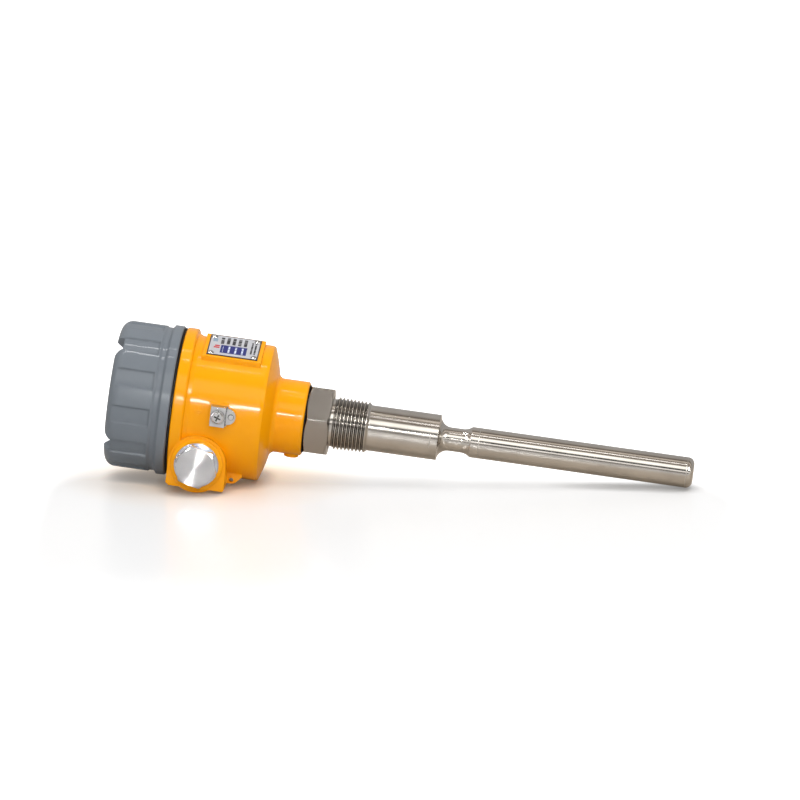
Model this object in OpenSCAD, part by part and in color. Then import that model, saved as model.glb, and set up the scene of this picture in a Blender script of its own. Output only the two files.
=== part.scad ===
// Vibrating rod level switch: a screwed-in steel sensor with a round tip rod,
// carried by a cast terminal housing with a screwed cover.
// Millimetres. X runs along the sensor towards the rod tip, Z is up, and X = 0 is the face
// of the hexagon that seats against the vessel socket.

/* [Rod] */
// Radius of the vibrating rod
rod_r = 9.6; // [6:0.1:14]
// Where the rod ends
rod_tip_x = 228.3; // [150:0.1:400]
// Where the rod tube is welded to the neck
rod_weld_x = 93.4; // [85:0.1:120]
// Wall of the rod tube
rod_wall = 1.5; // [0.8:0.1:3]
// Length of the closing plug that shows
tip_len = 4.2; // [2:0.1:8]
// Rounding of the rod tip
tip_round = 4.1; // [1:0.1:5]

/* [Process connection] */
// Hexagon across its flats
hex_af = 41; // [36:0.5:50]
// Direction of one corner of the hexagon, from the front towards the top
hex_angle = 13; // [0:1:60]
// Hexagon length
hex_len = 15.25; // [10:0.25:25]
// Thread crest radius at its start
thread_r = 16.6; // [15:0.1:20]
// Thread pitch
thread_pitch = 2.309; // [1.5:0.001:3]
// Thread depth
thread_depth = 1.45; // [0.8:0.05:2]
// Width of the flats on the thread's crests and in its roots
thread_flat = 0.36; // [0.1:0.02:0.8]
// Where the thread starts
thread_x0 = 2.5; // [1:0.1:5]
// Where the thread ends
thread_x1 = 23.3; // [15:0.1:40]
// Radius of the sensor tube
tube_r = 14.3; // [12:0.1:18]
// Where the sensor tube ends and the hollow of the neck begins
tube_end_x = 67.9; // [60:0.1:70]
// Radius of the elastic neck before the rod
neck_min_r = 7.45; // [5:0.05:9]
// Bore of the sensor tube
tube_bore_r = 10.6; // [8:0.1:12]

/* [Housing] */
// Body radius at the flange
body_r0 = 42.6; // [35:0.1:60]
// Body radius at the neck end
body_r1 = 42.5; // [35:0.1:60]
// Flange radius
flange_r = 46.5; // [40:0.1:65]
// Radius of the housing neck
neck_r = 23.2; // [20:0.1:30]
// Height of the cable entry axis
entry_z = -28.2; // [-35:0.1:-15]
// Place of the cable entry axis along the sensor
entry_x = -77.3; // [-85:0.1:-70]
// Distance of the cable entry faces from the centre
entry_face = 46; // [42:0.5:55]

/* [Cover] */
// Drum radius of the cover
cover_r = 45.8; // [40:0.1:60]
// Collar radius of the cover
collar_r = 46.9; // [42:0.1:62]
// Front face of the cover
cover_x0 = -137.5; // [-150:0.5:-120]
// Back face of the cover
cover_x1 = -98.4; // [-105:0.1:-95]
// Number of grip flutes
flutes = 12; // [6:1:18]
// Width of a flute at its floor
flute_w = 9.4; // [8:0.2:16]

/* [Nameplate] */
// Plate length along the housing
plate_len = 32; // [20:1:40]
// Plate height
plate_w = 25; // [15:1:28]
// Direction of the plate, from the front towards the top
plate_angle = 73; // [45:1:90]

/* [View] */
// Node to show, or all of them

/* [Hidden] */
$fn = 48;
spigot_r = 42;
spigot_x0 = -109;
seat_x = -96.6;
flange_x1 = -89.3;
cavity_r = spigot_r - 3.6;
back_x = -45;
neck_x1 = -15.9;
shank_r = 17;
hex_face_r = 20;
hex_chamfer = 1.9;
gasket_r = 21.2;
shank_x0 = -47.3;
ring_x0 = -46.45;
ring_x1 = -45.2;
cover_bore_r = spigot_r + 0.06;
flute_r = 44.8;
flute_x1 = -110.5;
flute_a = 56;
face_r = 37.5;
face_depth = 4.7;
slot_depth = 4.6;
rim_round = 7;
plate_x = -65.1;
plate_d = 43.5;
plate_t = 0.5;
pad_len = 37;
pad_w = 28;
entry_bore_r = 9.2;
entry_relief_r = 9.8;
entry_thread_y = 33.2;
arch_r = 18;
ring_boss_r = 16.4;
earth_x = -67.5;
earth_z = 4.7;
earth_y = -43.4;
inner_earth_x = -97.2;
clamp_h = 5.6;
clamp_w = 12.6;
clamp_d = clamp_h - earth_y;
module_x0 = -66;
module_x1 = -49;
module_r = 37.9;
module_screw_r0 = 29;
fillet_r = 7.1;
flare_r = 9.17;
throat_x0 = tube_end_x + fillet_r;
throat_x1 = 82.4;
stack_x1 = 63;
seat_r0 = 17;
seat_relief = 0.4;
piezo_t = 5;
electrode_t = 0.4;
insulator_t = 3;
trimmer_y = -12;
trimmer_z = -13;
switch_y = 12;
switch_z = -13;
set_screw_x = -22.4;

orange = [0.93, 0.56, 0.08];
grey = [0.48, 0.50, 0.53];
steel = [0.74, 0.73, 0.71];
bright = [0.80, 0.80, 0.80];
black = [0.08, 0.08, 0.09];
blue = [0.12, 0.25, 0.55];
green = [0.10, 0.38, 0.24];
brass = [0.80, 0.65, 0.35];
cream = [0.86, 0.84, 0.76];

// Turns a profile of (radius, X) about the sensor axis
module turned(angle = 360)
  rotate([0, 90, 0])
    rotate_extrude(angle = angle)
      children();

// A rod along X from x0 to x1
module rod_x(r, x0, x1)
  translate([x0, 0, 0])
    rotate([0, 90, 0])
      cylinder(r = r, h = x1 - x0);

// A cylinder or cone along -Y, from the distance d0 to d1 in front of the centre
module rod_y(r0, r1, d0, d1)
  translate([0, -d0, 0])
    rotate([90, 0, 0])
      cylinder(r1 = r0, r2 = r1, h = d1 - d0);

// Turns what faces -Y to the direction a, counted from the front towards the top
module facing(a)
  rotate([-a, 0, 0])
    children();

// Housing

// Outline of the turned outside of the casting, from the spigot to the neck
module housing_profile() {
  intersection() {
    polygon([
      [0, spigot_x0],
      [spigot_r - 0.8, spigot_x0],
      [spigot_r, spigot_x0 + 0.8],
      [spigot_r, seat_x],
      [flange_r - 0.7, seat_x],
      [flange_r, seat_x + 0.7],
      [flange_r, flange_x1 - 0.7],
      [flange_r - 0.7, flange_x1],
      [body_r0 + 1.2, flange_x1 + 0.6],
      [body_r0, flange_x1 + 3],
      [body_r1 + 0.02, -42.4],
      [body_r1 - 0.5, -40.8],
      [body_r1 - 1.6, -39.4],
      [body_r1 - 1.6, -30],
      [0, -30]
    ]);
    translate([0, -155.2])
      circle(r = 122, $fn = 200);
  }
  polygon([
    [0, -44],
    [neck_r + 2.4, -44],
    [neck_r + 2.4, -35.9],
    [neck_r + 1.0, -35.1],
    [neck_r, -33.4],
    [neck_r, neck_x1 - 0.9],
    [neck_r - 0.9, neck_x1],
    [0, neck_x1]
  ]);
}

// The arched block that carries both cable entries
module entry_block() {
  rotate([90, 0, 0])
    linear_extrude(height = 2 * 44, center = true)
      union() {
        translate([entry_x, entry_z])
          circle(r = arch_r);
        polygon([
          [entry_x - arch_r, entry_z],
          [entry_x + arch_r, entry_z],
          [entry_x + arch_r + 0.6, -42.7],
          [entry_x + arch_r - 0.2, -43.5],
          [entry_x - 10, -43.7],
          [entry_x - arch_r + 2, -43.7],
          [entry_x - arch_r, -42.0]
        ]);
      }
  for (side = [0, 180])
    rotate([0, 0, side])
      translate([side == 0 ? entry_x : -entry_x, 0, entry_z]) {
        rod_y(ring_boss_r, ring_boss_r, 30, entry_face - 0.8);
        rod_y(ring_boss_r, ring_boss_r - 0.8, entry_face - 0.8, entry_face);
      }
}

// Bores of both cable entries, with the chamfer and the spot face of each
module entry_bores()
  for (side = [0, 180])
    rotate([0, 0, side])
      translate([side == 0 ? entry_x : -entry_x, 0, entry_z]) {
        rod_y(entry_relief_r, entry_relief_r, 20, entry_thread_y);
        rod_y(entry_bore_r, entry_bore_r, entry_thread_y - 1, entry_face + 1);
        rod_y(entry_bore_r, entry_bore_r + 0.9, entry_face - 1.3, entry_face - 0.4);
        rod_y(14, 14, entry_face - 0.4, entry_face + 1);
      }

// The flat raised pad for the nameplate
module plate_pad()
  facing(plate_angle)
    translate([plate_x - pad_len / 2, 0, 0])
      rotate([90, 0, 90])
        linear_extrude(height = pad_len)
          polygon([
            [-36, -pad_w / 2 - 1.2],
            [-plate_d + 0.5, -pad_w / 2],
            [-plate_d, -pad_w / 2 + 0.5],
            [-plate_d, pad_w / 2 - 0.5],
            [-plate_d + 0.5, pad_w / 2],
            [-36, pad_w / 2 + 1.2]
          ]);

// The flat for the outer earth terminal
module earth_flat() {
  translate([earth_x - 6.3, earth_y, earth_z - 7.5])
    cube([12, 8, 15]);
  translate([earth_x + 5.6, 0, earth_z])
    rod_y(5.6, 5.6, 36, -earth_y);
}

// The pierced gusset below the body
module ear()
  translate([0, -20.4, 0])
    rotate([90, 0, 0])
      linear_extrude(height = 3.4)
        difference() {
          polygon([
            [-62, -34],
            [-49.6, -34],
            [-49.6, -37.4],
            [-53.4, -41.4],
            [-55.4, -42.2],
            [-62, -42.2]
          ]);
          translate([-56.1, -39.9])
            circle(r = 1.4);
        }

module housing() {
  color(orange)
    difference() {
      union() {
        turned()
          housing_profile();
        entry_block();
        plate_pad();
        earth_flat();
        ear();
        translate([set_screw_x, 0, 0])
          facing(-90) {
            rod_y(4.65, 4.65, 18, neck_r + 1.3);
            rod_y(4.65, 4.2, neck_r + 1.3, neck_r + 1.75);
          }
      }
      difference() {
        turned()
          difference() {
            polygon([
              [0, spigot_x0 - 1],
              [cavity_r + 1, spigot_x0 - 1],
              [cavity_r + 1, spigot_x0],
              [cavity_r, spigot_x0 + 1],
              [cavity_r, back_x - 4],
              [cavity_r - 4, back_x],
              [0, back_x]
            ]);
          }
        for (a = [30, 150, 270])
          facing(a)
            translate([0, -module_screw_r0, 0])
              rod_x(4, module_x1, back_x + 1);
        translate([inner_earth_x, 0, 0])
          facing(-90)
            rod_y(5, 5, 33, 40);
      }
      entry_bores();
      rod_x(shank_r + 0.05, back_x - 1, neck_x1 + 1);
      for (a = [30, 150, 270])
        facing(a)
          translate([0, -module_screw_r0, 0])
            rod_x(1.6, module_x1 - 1, back_x + 0.6);
      translate([inner_earth_x, 0, 0])
        facing(-90)
          rod_y(2, 2, 32, 39);
      translate([set_screw_x, 0, 0])
        facing(-90)
          rod_y(2.5, 2.5, 16, neck_r + 3);
      translate([earth_x, 0, earth_z])
        rod_y(2, 2, 39.5, 46);
      facing(plate_angle)
        for (sx = [-1, 1], sz = [-1, 1])
          translate([plate_x + sx * (plate_len / 2 - 2.4), 0, sz * (plate_w / 2 - 2.4)])
            rod_y(1.1, 1.1, plate_d - 3, plate_d + 1);
    }
}

// Nameplate and its rivets

module nameplate()
  color(bright)
    facing(plate_angle)
      difference() {
        translate([plate_x - plate_len / 2, -plate_d - plate_t, -plate_w / 2])
          cube([plate_len, plate_t, plate_w]);
        for (sx = [-1, 1], sz = [-1, 1])
          translate([plate_x + sx * (plate_len / 2 - 2.4), 0, sz * (plate_w / 2 - 2.4)])
            rod_y(1.15, 1.15, plate_d - 1, plate_d + 1);
      }

module nameplate_rivets()
  color(bright)
    facing(plate_angle)
      for (sx = [-1, 1], sz = [-1, 1])
        translate([plate_x + sx * (plate_len / 2 - 2.4), 0, sz * (plate_w / 2 - 2.4)]) {
          rod_y(1.05, 1.05, plate_d - 2.6, plate_d + plate_t + 0.2);
          intersection() {
            rod_y(2.05, 2.05, plate_d + plate_t, plate_d + plate_t + 2);
            translate([0, -plate_d - plate_t + 1.2, 0])
              sphere(r = 2.35);
          }
        }

// Outer earth terminal

module earth_base_plate()
  color(bright)
    difference() {
      union() {
        translate([earth_x - 5.1, earth_y - 1, earth_z - clamp_w / 2])
          cube([10.6, 1, clamp_w]);
        translate([earth_x + 5.5, 0, earth_z])
          rod_y(5.2, 5.2, -earth_y, -earth_y + 1);
        translate([earth_x + 7.8, 0, earth_z])
          rod_y(1.8, 1.5, -earth_y + 0.9, -earth_y + 1.9);
      }
      translate([earth_x, 0, earth_z])
        rod_y(2.15, 2.15, -earth_y - 1, -earth_y + 2);
    }

module earth_clamp()
  color(bright)
    difference() {
      translate([earth_x - 4.6, earth_y - clamp_h, earth_z - clamp_w / 2])
        cube([9.2, clamp_h - 1, clamp_w]);
      translate([earth_x - 6, earth_y - clamp_h + 1.5, earth_z - clamp_w / 2 + 1.9])
        cube([12, clamp_h - 2.4, clamp_w - 3.8]);
      translate([earth_x, 0, earth_z])
        rod_y(2.15, 2.15, -earth_y, -earth_y + clamp_h + 1);
    }

module earth_spring_washer()
  color(steel)
    difference() {
      translate([earth_x, 0, earth_z])
        rod_y(3.9, 3.9, clamp_d, clamp_d + 0.9);
      translate([earth_x, 0, earth_z])
        rod_y(2.15, 2.15, clamp_d - 1, clamp_d + 2);
      translate([earth_x - 0.3, -clamp_d - 2, earth_z])
        cube([0.6, 3, 5]);
    }

module earth_screw()
  color(steel)
    translate([earth_x, 0, earth_z])
      difference() {
        union() {
          rod_y(1.98, 1.98, 40, clamp_d + 1);
          rod_y(3.6, 3.6, clamp_d + 0.9, clamp_d + 2.4);
          rod_y(3.6, 3.0, clamp_d + 2.4, clamp_d + 3);
        }
        for (a = [0, 90])
          rotate([0, a + 20, 0])
            translate([-2.2, -clamp_d - 4, -0.45])
              cube([4.4, 2.4, 0.9]);
      }

// Closing plug of the front cable entry

module entry_plug()
  color(bright)
    translate([entry_x, 0, entry_z])
      difference() {
        union() {
          rod_y(8.3, 9.12, 33, 34);
          rod_y(9.12, 9.12, 34, entry_face + 1.2);
          rod_y(13.6, 13.6, entry_face + 0.6, entry_face + 1.8);
          intersection() {
            translate([0, -entry_face - 1.6, 0])
              rotate([90, 14, 0])
                cylinder(r = 13.86, h = 6, $fn = 6);
            translate([0, -entry_face - 1.6, 0])
              rotate([90, 0, 0])
                cylinder(r1 = 19.9, r2 = 11.9, h = 6);
          }
        }
        rod_y(6.6, 6.6, 30, 43);
      }

module entry_plug_washer()
  color(steel)
    translate([entry_x, 0, entry_z])
      difference() {
        rod_y(13.9, 13.9, entry_face - 0.4, entry_face + 0.6);
        rod_y(9.3, 9.3, entry_face - 2, entry_face + 2);
      }

// Cover

module cover() {
  color(grey)
    difference() {
      turned()
        difference() {
          union() {
            translate([0, cover_x0])
              square([cover_r - rim_round, 12]);
            translate([cover_r - rim_round, cover_x0 + rim_round])
              circle(r = rim_round);
            polygon([
              [0, cover_x0 + rim_round],
              [cover_r, cover_x0 + rim_round],
              [cover_r, -109.6],
              [cover_r - 0.8, -108.4],
              [cover_r - 0.8, -105.6],
              [collar_r, -104.2],
              [collar_r, cover_x1 - 0.7],
              [collar_r - 0.7, cover_x1],
              [0, cover_x1]
            ]);
          }
          polygon([
            [-1, cover_x0 - 1],
            [face_r + 1, cover_x0 - 1],
            [face_r, cover_x0 + 1],
            [face_r - 1.5, cover_x0 + face_depth],
            [-1, cover_x0 + face_depth]
          ]);
          polygon([
            [-1, cover_x0 + face_depth + 4.3],
            [36, cover_x0 + face_depth + 4.3],
            [39, cover_x0 + face_depth + 5.8],
            [40.6, cover_x0 + face_depth + 8],
            [40.6, -113.4],
            [cover_bore_r, -112],
            [cover_bore_r, cover_x1 - 1],
            [cover_bore_r + 0.8, cover_x1 + 1],
            [-1, cover_x1 + 1]
          ]);
        }
      for (i = [0 : flutes - 1])
        facing(flute_a + i * 360 / flutes)
          translate([cover_x0 - 1, 0, 0])
            rotate([90, 0, 90])
              linear_extrude(height = flute_x1 - cover_x0 + 1)
                flute_section();
      for (i = [0 : 3])
        facing(flute_a + i * 90)
          rim_slot();
    }
}

// Section of one grip flute: a floor round about the axis, and sloping sides
module flute_section()
  difference() {
    polygon([
      [-flute_w / 2, -44.2],
      [-flute_w / 2 - 2, -46.6],
      [-flute_w / 2 - 2, -50],
      [flute_w / 2 + 2, -50],
      [flute_w / 2 + 2, -46.6],
      [flute_w / 2, -44.2]
    ]);
    circle(r = flute_r, $fn = 200);
  }

// Slot for a key bar across the rim, its mouth flared
module rim_slot()
  translate([0, 2 - face_r, 0])
    rotate([90, 0, 0])
      linear_extrude(height = 14)
        polygon([
          [cover_x0 - 1, -8],
          [cover_x0 + 1.2, -6.2],
          [cover_x0 + slot_depth, -4.2],
          [cover_x0 + slot_depth, 4.2],
          [cover_x0 + 1.2, 6.2],
          [cover_x0 - 1, 8]
        ]);

module cover_seal_ring()
  color(black)
    turned()
      union() {
        translate([spigot_r + 0.35, cover_x1 + 0.1])
          square([45.1 - spigot_r - 0.35, 1.6]);
        translate([45.1, cover_x1 + 0.9])
          circle(r = 0.8);
      }

// Process connection and the vibrating rod

function thread_points() = [
  for (i = [0 : 8], crest = [0 : 1], end = [0 : 1])
    let (
      x = thread_x0 + (i + 0.5 * crest) * thread_pitch + end * thread_flat,
      taper = (x - thread_x0) / 32
    )
    [thread_r - (1 - crest) * thread_depth - taper, x]
];

module process_connection() {
  color(steel) {
    difference() {
      union() {
        turned()
          difference() {
            union() {
              polygon(concat(
                [
                  [0, shank_x0],
                  [shank_r - 0.6, shank_x0],
                  [shank_r, shank_x0 + 0.6],
                  [shank_r, ring_x0 - 0.05],
                  [shank_r - 1.3, ring_x0 - 0.05],
                  [shank_r - 1.3, ring_x1 + 0.05],
                  [shank_r, ring_x1 + 0.05],
                  [shank_r, -hex_len + 1],
                  [15, -hex_len + 1],
                  [15, 0.2],
                  [14.9, thread_x0 - 1]
                ],
                thread_points(),
                [
                  [tube_r, thread_x1 + 0.9],
                  [tube_r, throat_x0 - 0.1],
                  [neck_min_r, throat_x0 - 0.1],
                  [neck_min_r, throat_x1],
                  [rod_r, throat_x1],
                  [rod_r, rod_weld_x],
                  [0, rod_weld_x]
                ]
              ));
            }
            translate([neck_min_r + fillet_r - 0.01, throat_x0])
              circle(r = fillet_r);
            translate([neck_min_r + flare_r - 0.01, throat_x1])
              circle(r = flare_r);
          }
        intersection() {
          facing(hex_angle)
            translate([-hex_len, 0, 0])
              rotate([0, 90, 0])
                rotate([0, 0, 90])
                  cylinder(r = hex_af / 2 / cos(30), h = hex_len, $fn = 6);
          turned()
            polygon([
              [0, -hex_len],
              [hex_face_r, -hex_len],
              [24.4, -hex_len + hex_chamfer],
              [24.4, -hex_chamfer],
              [hex_face_r, 0],
              [0, 0]
            ]);
        }
      }
      ring_x(seat_r0, 15, -seat_relief, 1);
      rod_x(tube_bore_r, shank_x0 - 1, stack_x1);
      rod_x(3, stack_x1 - 1, stack_x1 + 8);
      rod_x(rod_r - rod_wall, 90, rod_weld_x + 1);
      rod_x(3, 83, 91);
      translate([set_screw_x, 0, 0])
        turned()
          polygon([
            [shank_r - 0.6, -2],
            [shank_r + 1, -3.6],
            [shank_r + 1, 3.6],
            [shank_r - 0.6, 2]
          ]);
    }
  }
}

module vibrating_rod()
  color(steel)
    difference() {
      rod_x(rod_r, rod_weld_x, rod_tip_x - tip_len);
      rod_x(rod_r - rod_wall, rod_weld_x - 1, rod_tip_x);
    }

module rod_tip_plug()
  color(steel)
    turned()
      union() {
        polygon([
          [0, rod_tip_x - tip_len - 5],
          [rod_r - rod_wall - 0.5, rod_tip_x - tip_len - 5],
          [rod_r - rod_wall - 0.02, rod_tip_x - tip_len - 4.5],
          [rod_r - rod_wall - 0.02, rod_tip_x - tip_len],
          [rod_r, rod_tip_x - tip_len],
          [rod_r, rod_tip_x - tip_round],
          [rod_r - tip_round, rod_tip_x],
          [0, rod_tip_x]
        ]);
        intersection() {
          translate([rod_r - tip_round, rod_tip_x - tip_round])
            circle(r = tip_round);
          translate([0, rod_tip_x - tip_round])
            square([rod_r, tip_round]);
        }
      }

module inner_resonator()
  color(steel) {
    rod_x(2.98, 83.2, 91.5);
    rod_x(5.6, 91, 202);
    turned()
      polygon([[0, 201.9], [5.6, 201.9], [4.6, 203], [0, 203]]);
  }

module neck_gasket()
  color(black)
    ring_x(gasket_r, shank_r + 0.3, neck_x1 + 0.05, -hex_len);

module neck_set_screw()
  color(steel)
    translate([set_screw_x, 0, 0])
      facing(-90)
        difference() {
          union() {
            rod_y(1.4, 2.46, 16.7, 17.8);
            rod_y(2.46, 2.46, 17.8, 23.6);
          }
          translate([0, -21.6, 0])
            rotate([90, 0, 0])
              cylinder(r = 1.4, h = 4, $fn = 6);
        }

module retaining_ring()
  color(steel)
    difference() {
      turned()
        polygon([
          [shank_r - 1.25, ring_x0],
          [shank_r + 2.3, ring_x0],
          [shank_r + 2.3, ring_x1],
          [shank_r - 1.25, ring_x1]
        ]);
      translate([-50, -2.2, 10])
        cube([8, 4.4, 14]);
    }

// Drive stack inside the sensor tube

module stack_bolt()
  color(steel)
    rod_x(2.98, 28, stack_x1 + 7.6);

function piezo_x(i) = stack_x1 - insulator_t - (i + 1) * piezo_t - i * electrode_t;

module ring_x(r1, r0, x0, x1)
  difference() {
    rod_x(r1, x0, x1);
    rod_x(r0, x0 - 1, x1 + 1);
  }

module piezo_rings()
  color(cream)
    for (i = [0 : 3])
      ring_x(8, 3.3, piezo_x(i), piezo_x(i) + piezo_t);

module electrode_rings()
  color(brass)
    for (i = [0 : 2])
      ring_x(8.4, 3.3, piezo_x(i) - electrode_t, piezo_x(i));

module insulating_rings()
  color(cream) {
    ring_x(8.8, 3.3, stack_x1 - insulator_t, stack_x1);
    ring_x(8.8, 3.3, piezo_x(3) - insulator_t, piezo_x(3));
  }

module stack_nut()
  color(steel)
    difference() {
      translate([piezo_x(3) - insulator_t - 6, 0, 0])
        rotate([0, 90, 0])
          cylinder(r = 5.77, h = 6, $fn = 6);
      rod_x(3, 20, 50);
    }

module sensor_lead()
  color(black)
    rod_x(1.6, -51.5, 28);

// Electronics inside the housing

module electronics_module()
  color(green)
    difference() {
      rod_x(module_r, module_x0, module_x1);
      rod_x(4, module_x1 - 4, module_x1 + 1);
      for (a = [30, 150, 270])
        facing(a)
          translate([0, -module_screw_r0, 0])
            rod_x(1.8, module_x0 - 1, module_x1 + 1);
    }

module module_screws()
  color(steel)
    for (a = [30, 150, 270])
      facing(a)
        translate([0, -module_screw_r0, 0]) {
          rod_x(1.5, module_x0 - 0.1, back_x);
          difference() {
            rod_x(3, module_x0 - 2, module_x0);
            translate([module_x0 - 3, -3.5, -0.4])
              cube([1.9, 7, 0.8]);
          }
        }

module terminal_block()
  color(green)
    difference() {
      translate([0, -21.5, 0])
        rotate([90, 0, 180])
          linear_extrude(height = 43)
            polygon([
              [-module_x0, 5],
              [-module_x0 + 8, 5],
              [-module_x0 + 12, 8.5],
              [-module_x0 + 12, 18],
              [-module_x0 + 10, 20],
              [-module_x0, 20]
            ]);
      for (i = [0 : 5])
        translate([0, -17.5 + i * 7, 0]) {
          translate([0, 0, 14])
            rod_x(2.3, module_x0 - 14, module_x0 - 6);
          translate([module_x0 - 5.2, 0, 4])
            cylinder(r = 1.9, h = 10);
        }
    }

module terminal_screws()
  color(bright)
    for (i = [0 : 5])
      translate([0, -17.5 + i * 7, 14])
        difference() {
          rod_x(2.15, module_x0 - 10, module_x0 - 6);
          translate([module_x0 - 10.6, -2.5, -0.35])
            cube([1.5, 5, 0.7]);
        }

module sensitivity_trimmer()
  color(blue)
    difference() {
      translate([module_x0 - 5, trimmer_y - 5, trimmer_z - 5])
        cube([5, 10, 10]);
      translate([0, trimmer_y, trimmer_z])
        rod_x(3.05, module_x0 - 6, module_x0 - 1.8);
    }

module trimmer_rotor()
  color(cream)
    translate([0, trimmer_y, trimmer_z])
      difference() {
        union() {
          rod_x(3, module_x0 - 5.2, module_x0 - 1.9);
        }
        translate([module_x0 - 6, -2.3, -0.4])
          cube([1.8, 4.6, 0.8]);
        translate([module_x0 - 6, 1.1, -1.1])
          cube([1.3, 1.2, 2.2]);
      }

module mode_switch()
  color(black)
    difference() {
      translate([module_x0 - 5, switch_y - 5, switch_z - 3])
        cube([5, 10, 6]);
      translate([module_x0 - 5.5, switch_y - 3, switch_z - 1.5])
        cube([3.2, 6, 3]);
    }

module mode_slider()
  color(cream)
    translate([module_x0 - 6.2, switch_y - 2.9, switch_z - 1.4])
      cube([3.6, 3.2, 2.8]);

module indicator_led()
  color([0.2, 0.75, 0.3])
    translate([0, 0, -19.5])
      union() {
        rod_x(1.6, module_x0 - 2.4, module_x0);
        translate([module_x0 - 2.4, 0, 0])
          sphere(r = 1.59);
      }

module inner_earth_washer()
  color(bright)
    translate([inner_earth_x, 0, 0])
      facing(-90)
        difference() {
          rod_y(4.6, 4.6, 32, 33);
          rod_y(2.1, 2.1, 31, 34);
        }

module inner_earth_screw()
  color(brass)
    translate([inner_earth_x, 0, 0])
      facing(-90)
        difference() {
          union() {
            rod_y(3.6, 3.8, 29.4, 32);
            rod_y(1.95, 1.95, 31.9, 38.6);
          }
          translate([-4.5, -30.6, -0.5])
            cube([9, 2, 1]);
        }

housing();
cover();
cover_seal_ring();
nameplate();
nameplate_rivets();
earth_base_plate();
earth_clamp();
earth_spring_washer();
earth_screw();
entry_plug();
entry_plug_washer();
neck_gasket();
neck_set_screw();
retaining_ring();
process_connection();
vibrating_rod();
rod_tip_plug();
inner_resonator();
stack_bolt();
piezo_rings();
electrode_rings();
insulating_rings();
stack_nut();
sensor_lead();
electronics_module();
module_screws();
terminal_block();
terminal_screws();
sensitivity_trimmer();
trimmer_rotor();
mode_switch();
mode_slider();
indicator_led();
inner_earth_screw();
inner_earth_washer();
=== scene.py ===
import math
import bmesh
import bpy
from mathutils import Matrix, Vector


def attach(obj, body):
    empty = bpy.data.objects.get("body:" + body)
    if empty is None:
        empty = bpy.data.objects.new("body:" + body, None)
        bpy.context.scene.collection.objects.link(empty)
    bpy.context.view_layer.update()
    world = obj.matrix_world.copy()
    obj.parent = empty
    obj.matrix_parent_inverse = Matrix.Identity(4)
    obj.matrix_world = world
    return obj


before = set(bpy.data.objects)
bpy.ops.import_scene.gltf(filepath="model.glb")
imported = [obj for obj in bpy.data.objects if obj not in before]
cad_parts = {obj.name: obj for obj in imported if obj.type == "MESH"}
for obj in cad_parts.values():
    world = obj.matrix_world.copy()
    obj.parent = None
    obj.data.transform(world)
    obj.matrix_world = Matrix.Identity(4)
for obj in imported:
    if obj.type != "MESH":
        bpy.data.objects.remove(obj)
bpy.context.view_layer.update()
scene = bpy.context.scene
MM = 0.001


# Places on the object, which lies along X with the rod's tip towards +X

def box_of(node):
    """The lowest and the highest corner of a CAD piece."""
    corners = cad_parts[node].bound_box
    return [Vector([limit(corner[axis] for corner in corners) for axis in range(3)])
            for limit in (min, max)]


ROD_START, ROD_END = (corner.x for corner in box_of("vibrating_rod"))
PLATE_LEFT = box_of("nameplate")[0].x
PLATE_LEAN = math.radians(17)
PLUG_LOW, PLUG_HIGH = box_of("entry_plug")
ENTRY_CENTRE = ((PLUG_LOW.x + PLUG_HIGH.x) / 2, 0.0, (PLUG_LOW.z + PLUG_HIGH.z) / 2)
ENTRY_FACE = (ENTRY_CENTRE[0], -46 * MM, ENTRY_CENTRE[2])
ENTRY_THREAD = (33.4 * MM, 44.6 * MM)
ENTRY_THREAD_RADIUS = 9.4 * MM
SPIGOT_THREAD = (-108.1 * MM, -97.5 * MM)
COVER_THREAD = (-111.8 * MM, -99.8 * MM)
SPIGOT_THREAD_RADII = (41.5 * MM, 42.5 * MM)
HEXAGON = (-15.3 * MM, 0.1 * MM)
TAPER_THREAD = (2.2 * MM, 23.6 * MM)
TAPER = 1 / 32
CREST_RADIUS = 16.2 * MM
GROOVE_RADIUS = 15.3 * MM

# The floor passes just under the block of the cable entries and just under the rod's tip
HEAD_REST = Vector((-60 * MM, 0.0, -44.9 * MM))
TIP_REST = Vector((228 * MM, 0.0, -9.8 * MM))


# Camera

LENS = 432.3
SENSOR_WIDTH = 36.0
CAMERA_AT = Vector((0.340567, -5.831981, 1.368963))
CAMERA_RIGHT = Vector((0.989048, 0.079570, 0.124307))
CAMERA_UP = Vector((-0.138864, 0.216336, 0.966393))


def make_camera():
    """A long lens at the place that the photo was taken from."""
    data = bpy.data.cameras.new("photo_camera")
    data.lens = LENS
    data.sensor_width = SENSOR_WIDTH
    data.clip_start, data.clip_end = 0.1, 50.0
    camera = bpy.data.objects.new("photo_camera", data)
    scene.collection.objects.link(camera)
    turn = Matrix((CAMERA_RIGHT, CAMERA_UP, CAMERA_RIGHT.cross(CAMERA_UP))).transposed()
    camera.matrix_world = Matrix.Translation(CAMERA_AT) @ turn.to_4x4()
    scene.camera = camera


make_camera()


# Node helpers

# The ambient occlusion at which the painted corner shade is full, and at which it ends
PAINTED_SHADE_AO_RANGE = (0.45, 0.95)


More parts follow.
